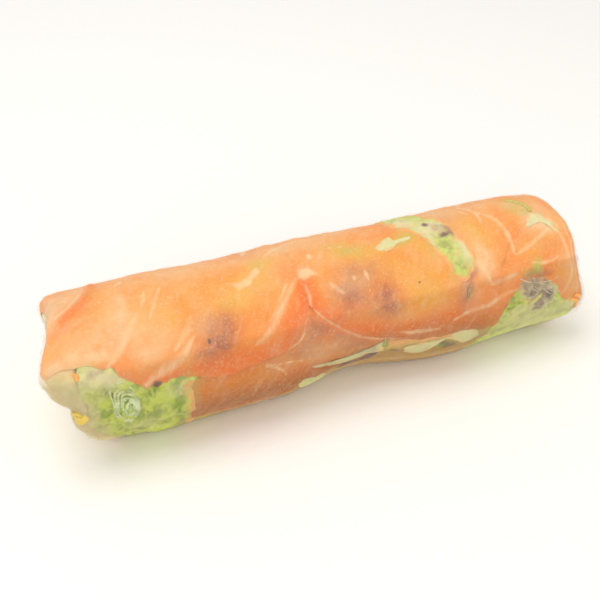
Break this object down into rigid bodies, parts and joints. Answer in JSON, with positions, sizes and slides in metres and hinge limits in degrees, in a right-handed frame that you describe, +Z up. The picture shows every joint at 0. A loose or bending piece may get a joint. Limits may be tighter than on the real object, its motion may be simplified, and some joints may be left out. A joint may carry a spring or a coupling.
{
  "type": "rice paper roll",
  "caption": "Long round-ended roll of translucent rice paper wrapped over smoked salmon slices, lettuce and rice noodles, lying on a flattened underside.",
  "frame": {"origin": "centre of the roll's box in X and Y, at the level of its flat underside", "axes": "+X along the roll, +Z up, -Y is the front with the paper's seam low on it"},
  "size_m": [0.1552, 0.0421, 0.0385],
  "materials": {
    "rice_paper": "satin, translucent",
    "smoked_salmon": "moist satin",
    "green_lettuce": "satin",
    "red_lettuce": "satin",
    "rice_noodle": "moist gloss",
    "packed_filling": "moist satin"
  },
  "bodies": {
    "root": {"rice_paper_wrapper": "rice_paper", "salmon_slice_left": "smoked_salmon", "salmon_slice_middle": "smoked_salmon", "salmon_slice_right": "smoked_salmon", "salmon_slice_under": "smoked_salmon", "lettuce_leaf_left": "green_lettuce", "lettuce_leaf_band": "green_lettuce", "lettuce_leaf_right": "green_lettuce", "lettuce_leaf_under": "green_lettuce", "red_lettuce_frill": "red_lettuce", "noodle_coil": "rice_noodle", "filling_core": "packed_filling"}
  },
  "joints": []
}
